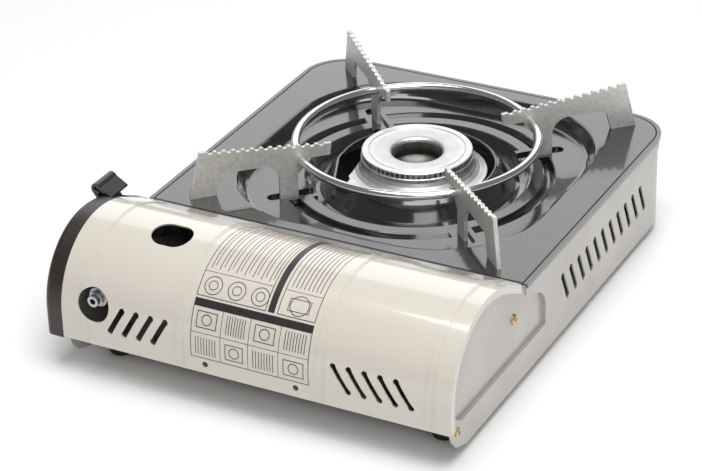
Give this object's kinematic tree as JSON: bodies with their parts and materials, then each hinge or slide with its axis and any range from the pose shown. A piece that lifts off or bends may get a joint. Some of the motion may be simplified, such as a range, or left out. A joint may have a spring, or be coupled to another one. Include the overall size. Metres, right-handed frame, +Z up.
{
  "type": "portable gas stove",
  "caption": "Portable tabletop gas stove: square dish with round burner and ribbed pan-support ring, beside a hinged curved cover over the gas cartridge bay, with a black control end.",
  "frame": {"origin": "centre of the footprint on the table plane, under the feet", "axes": "+X from the burner towards the cartridge cover, +Y away from the knob, +Z up"},
  "size_m": [0.3407, 0.283, 0.0997],
  "materials": {
    "enamel": "satin powder coat",
    "dark_enamel": "fine satin enamel",
    "zinc": "zinc-plated sheet",
    "black_plastic": "fine grain",
    "gloss_black": "smooth",
    "black_metal": "satin",
    "chrome": "bright",
    "plated_steel": "satin plated",
    "cast_zinc": "die cast",
    "burner_alloy": "machined casting",
    "brass": "turned",
    "copper": "drawn tube",
    "lead_cover": "silicone",
    "porcelain": "glazed",
    "rubber": "moulded"
  },
  "bodies": {
    "base": {"tray": "enamel", "bay_partition": "zinc", "top_plate": "dark_enamel", "cover_hinge_rod": "zinc", "front_panel": "black_plastic", "lever_pivot_pin": "zinc", "lever_bracket": "zinc", "lever_spring": "zinc", "valve_body": "cast_zinc", "regulator_cap": "cast_zinc", "cartridge_socket": "brass", "collar_guide": "zinc", "valve_bracket": "zinc", "hose_inlet": "zinc", "inlet_nut": "zinc", "gas_pipe": "copper", "gas_jet": "brass", "piezo_igniter": "black_plastic", "ignition_lead": "lead_cover", "electrode_insulator": "porcelain", "ignition_electrode": "zinc", "mixing_tube": "cast_zinc", "burner_bracket": "zinc", "burner_body": "burner_alloy", "burner_cap": "burner_alloy", "cartridge_cradle": "zinc", "end_spring": "zinc", "foot_front_left": "rubber", "foot_front_right": "rubber", "foot_back_left": "rubber", "foot_back_right": "rubber", "back_screws": "zinc", "panel_screws": "zinc", "base_screws": "zinc"},
    "cover": {"cartridge_cover": "enamel"},
    "knob": {"control_knob": "gloss_black", "valve_spindle": "brass"},
    "lever": {"lock_lever": "black_metal"},
    "slide": {"locking_slide": "zinc"},
    "pan_support": {"support_ring": "chrome", "arm_front_left": "plated_steel", "arm_front_right": "plated_steel", "arm_back_left": "plated_steel", "arm_back_right": "plated_steel"}
  },
  "joints": [
    {"name": "cover_hinge", "type": "hinge", "parent": "base", "child": "cover", "pos_m": [0.0705, 0, 0.0673], "axis": [0, -1, 0], "range_deg": [0, 84]},
    {"name": "knob_turn", "type": "hinge", "parent": "base", "child": "knob", "pos_m": [0.1105, -0.13, 0.0435], "axis": [0, -1, 0], "range_deg": [-110, 0]},
    {"name": "lever_swing", "type": "hinge", "parent": "base", "child": "lever", "pos_m": [0.0924, -0.1111, 0.069], "axis": [1, 0, 0], "range_deg": [0, 25], "stiffness_Nm_per_rad": 0.05, "springref_deg": -22.92},
    {"name": "slide_travel", "type": "slide", "parent": "base", "child": "slide", "axis": [0, 1, 0], "range_m": [0, 0.00523]},
    {"name": "pan_support_lift", "type": "slide", "parent": "base", "child": "pan_support", "axis": [0, 0, 1], "range_m": [0, 0.08]}
  ],
  "couplings": [
    {"joint": "slide_travel", "follows": "lever_swing", "m_per_rad": 0.01196}
  ]
}
